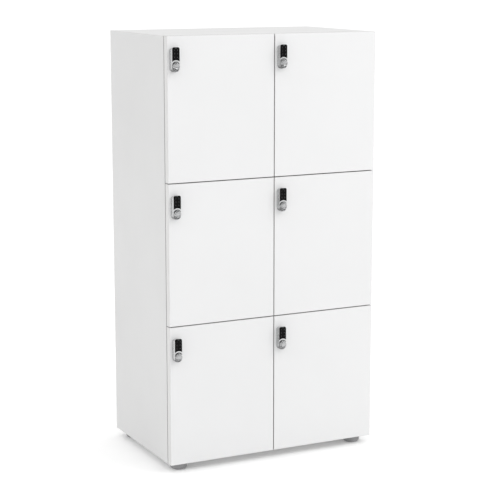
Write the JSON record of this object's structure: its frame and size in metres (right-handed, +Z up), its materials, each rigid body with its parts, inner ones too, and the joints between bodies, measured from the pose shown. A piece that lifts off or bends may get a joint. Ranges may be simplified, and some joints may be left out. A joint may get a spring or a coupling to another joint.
{
  "type": "parcel locker",
  "caption": "Free-standing white cabinet of stacked compartments, each behind a plain hinged door with an electronic keypad knob lock, on levelling feet.",
  "frame": {"origin": "on the floor, at the centre of the bounding box's bottom, knobs included", "axes": "+Z up, doors face -Y, +X to the right when facing the doors"},
  "size_m": [0.8, 0.54, 1.506],
  "materials": {
    "cabinet_board": "satin white melamine-faced chipboard with matching edge band",
    "door_board": "satin white melamine-faced chipboard with matching edge band",
    "lock_metal": "satin silver die casting",
    "keypad_black": "black, half gloss, with pale key marks",
    "circuit_board": "green board and battery",
    "hinge_steel": "nickel or zinc plated",
    "dowel_wood": "raw beech",
    "bumper": "soft clear pad",
    "foot_plastic": "grey moulded plastic on a steel stem"
  },
  "bodies": {
    "cabinet": {"left_side_panel": "cabinet_board", "right_side_panel": "cabinet_board", "centre_divider": "cabinet_board", "top_panel": "cabinet_board", "bottom_panel": "cabinet_board", "back_panel": "cabinet_board", "left_shelves": "cabinet_board", "right_shelves": "cabinet_board", "hinge_arms": "hinge_steel", "back_panel_screws": "hinge_steel", "dowels": "dowel_wood", "door_bumpers": "bumper", "foot_sockets": "hinge_steel"},
    "foot_front_left_body": {"foot_front_left": "foot_plastic"},
    "foot_front_right_body": {"foot_front_right": "foot_plastic"},
    "foot_back_left_body": {"foot_back_left": "foot_plastic"},
    "foot_back_right_body": {"foot_back_right": "foot_plastic"},
    "lower_left_door_body": {"door_lower_left": "door_board", "hinge_cups_lower_left": "hinge_steel", "lock_case_lower_left": "lock_metal", "lock_keypad_lower_left": "keypad_black", "lock_electronics_lower_left": "circuit_board"},
    "lower_left_lock_turn_body": {"lock_knob_lower_left": "lock_metal", "lock_cam_lower_left": "hinge_steel"},
    "middle_left_door_body": {"door_middle_left": "door_board", "hinge_cups_middle_left": "hinge_steel", "lock_case_middle_left": "lock_metal", "lock_keypad_middle_left": "keypad_black", "lock_electronics_middle_left": "circuit_board"},
    "middle_left_lock_turn_body": {"lock_knob_middle_left": "lock_metal", "lock_cam_middle_left": "hinge_steel"},
    "upper_left_door_body": {"door_upper_left": "door_board", "hinge_cups_upper_left": "hinge_steel", "lock_case_upper_left": "lock_metal", "lock_keypad_upper_left": "keypad_black", "lock_electronics_upper_left": "circuit_board"},
    "upper_left_lock_turn_body": {"lock_knob_upper_left": "lock_metal", "lock_cam_upper_left": "hinge_steel"},
    "lower_right_door_body": {"door_lower_right": "door_board", "hinge_cups_lower_right": "hinge_steel", "lock_case_lower_right": "lock_metal", "lock_keypad_lower_right": "keypad_black", "lock_electronics_lower_right": "circuit_board"},
    "lower_right_lock_turn_body": {"lock_knob_lower_right": "lock_metal", "lock_cam_lower_right": "hinge_steel"},
    "middle_right_door_body": {"door_middle_right": "door_board", "hinge_cups_middle_right": "hinge_steel", "lock_case_middle_right": "lock_metal", "lock_keypad_middle_right": "keypad_black", "lock_electronics_middle_right": "circuit_board"},
    "middle_right_lock_turn_body": {"lock_knob_middle_right": "lock_metal", "lock_cam_middle_right": "hinge_steel"},
    "upper_right_door_body": {"door_upper_right": "door_board", "hinge_cups_upper_right": "hinge_steel", "lock_case_upper_right": "lock_metal", "lock_keypad_upper_right": "keypad_black", "lock_electronics_upper_right": "circuit_board"},
    "upper_right_lock_turn_body": {"lock_knob_upper_right": "lock_metal", "lock_cam_upper_right": "hinge_steel"}
  },
  "joints": [
    {"name": "foot_front_left_screw", "type": "slide", "parent": "cabinet", "child": "foot_front_left_body", "axis": [0, 0, -1], "range_m": [0, 0.008]},
    {"name": "foot_front_right_screw", "type": "slide", "parent": "cabinet", "child": "foot_front_right_body", "axis": [0, 0, -1], "range_m": [0, 0.008]},
    {"name": "foot_back_left_screw", "type": "slide", "parent": "cabinet", "child": "foot_back_left_body", "axis": [0, 0, -1], "range_m": [0, 0.008]},
    {"name": "foot_back_right_screw", "type": "slide", "parent": "cabinet", "child": "foot_back_right_body", "axis": [0, 0, -1], "range_m": [0, 0.008]},
    {"name": "door_hinge_lower_left", "type": "hinge", "parent": "cabinet", "child": "lower_left_door_body", "pos_m": [-0.0105, -0.231, 0.27333], "axis": [0, 0, 1], "range_deg": [0, 95]},
    {"name": "lock_turn_lower_left", "type": "hinge", "parent": "lower_left_door_body", "child": "lower_left_lock_turn_body", "pos_m": [-0.3775, -0.238, 0.41917], "axis": [0, 1, 0], "range_deg": [0, 90]},
    {"name": "door_hinge_middle_left", "type": "hinge", "parent": "cabinet", "child": "middle_left_door_body", "pos_m": [-0.0105, -0.231, 0.767], "axis": [0, 0, 1], "range_deg": [0, 95]},
    {"name": "lock_turn_middle_left", "type": "hinge", "parent": "middle_left_door_body", "child": "middle_left_lock_turn_body", "pos_m": [-0.3775, -0.238, 0.91283], "axis": [0, 1, 0], "range_deg": [0, 90]},
    {"name": "door_hinge_upper_left", "type": "hinge", "parent": "cabinet", "child": "upper_left_door_body", "pos_m": [-0.0105, -0.231, 1.26067], "axis": [0, 0, 1], "range_deg": [0, 95]},
    {"name": "lock_turn_upper_left", "type": "hinge", "parent": "upper_left_door_body", "child": "upper_left_lock_turn_body", "pos_m": [-0.3775, -0.238, 1.4065], "axis": [0, 1, 0], "range_deg": [0, 90]},
    {"name": "door_hinge_lower_right", "type": "hinge", "parent": "cabinet", "child": "lower_right_door_body", "pos_m": [0.391, -0.231, 0.27333], "axis": [0, 0, 1], "range_deg": [0, 95]},
    {"name": "lock_turn_lower_right", "type": "hinge", "parent": "lower_right_door_body", "child": "lower_right_lock_turn_body", "pos_m": [0.024, -0.238, 0.41917], "axis": [0, 1, 0], "range_deg": [0, 90]},
    {"name": "door_hinge_middle_right", "type": "hinge", "parent": "cabinet", "child": "middle_right_door_body", "pos_m": [0.391, -0.231, 0.767], "axis": [0, 0, 1], "range_deg": [0, 95]},
    {"name": "lock_turn_middle_right", "type": "hinge", "parent": "middle_right_door_body", "child": "middle_right_lock_turn_body", "pos_m": [0.024, -0.238, 0.91283], "axis": [0, 1, 0], "range_deg": [0, 90]},
    {"name": "door_hinge_upper_right", "type": "hinge", "parent": "cabinet", "child": "upper_right_door_body", "pos_m": [0.391, -0.231, 1.26067], "axis": [0, 0, 1], "range_deg": [0, 95]},
    {"name": "lock_turn_upper_right", "type": "hinge", "parent": "upper_right_door_body", "child": "upper_right_lock_turn_body", "pos_m": [0.024, -0.238, 1.4065], "axis": [0, 1, 0], "range_deg": [0, 90]}
  ]
}
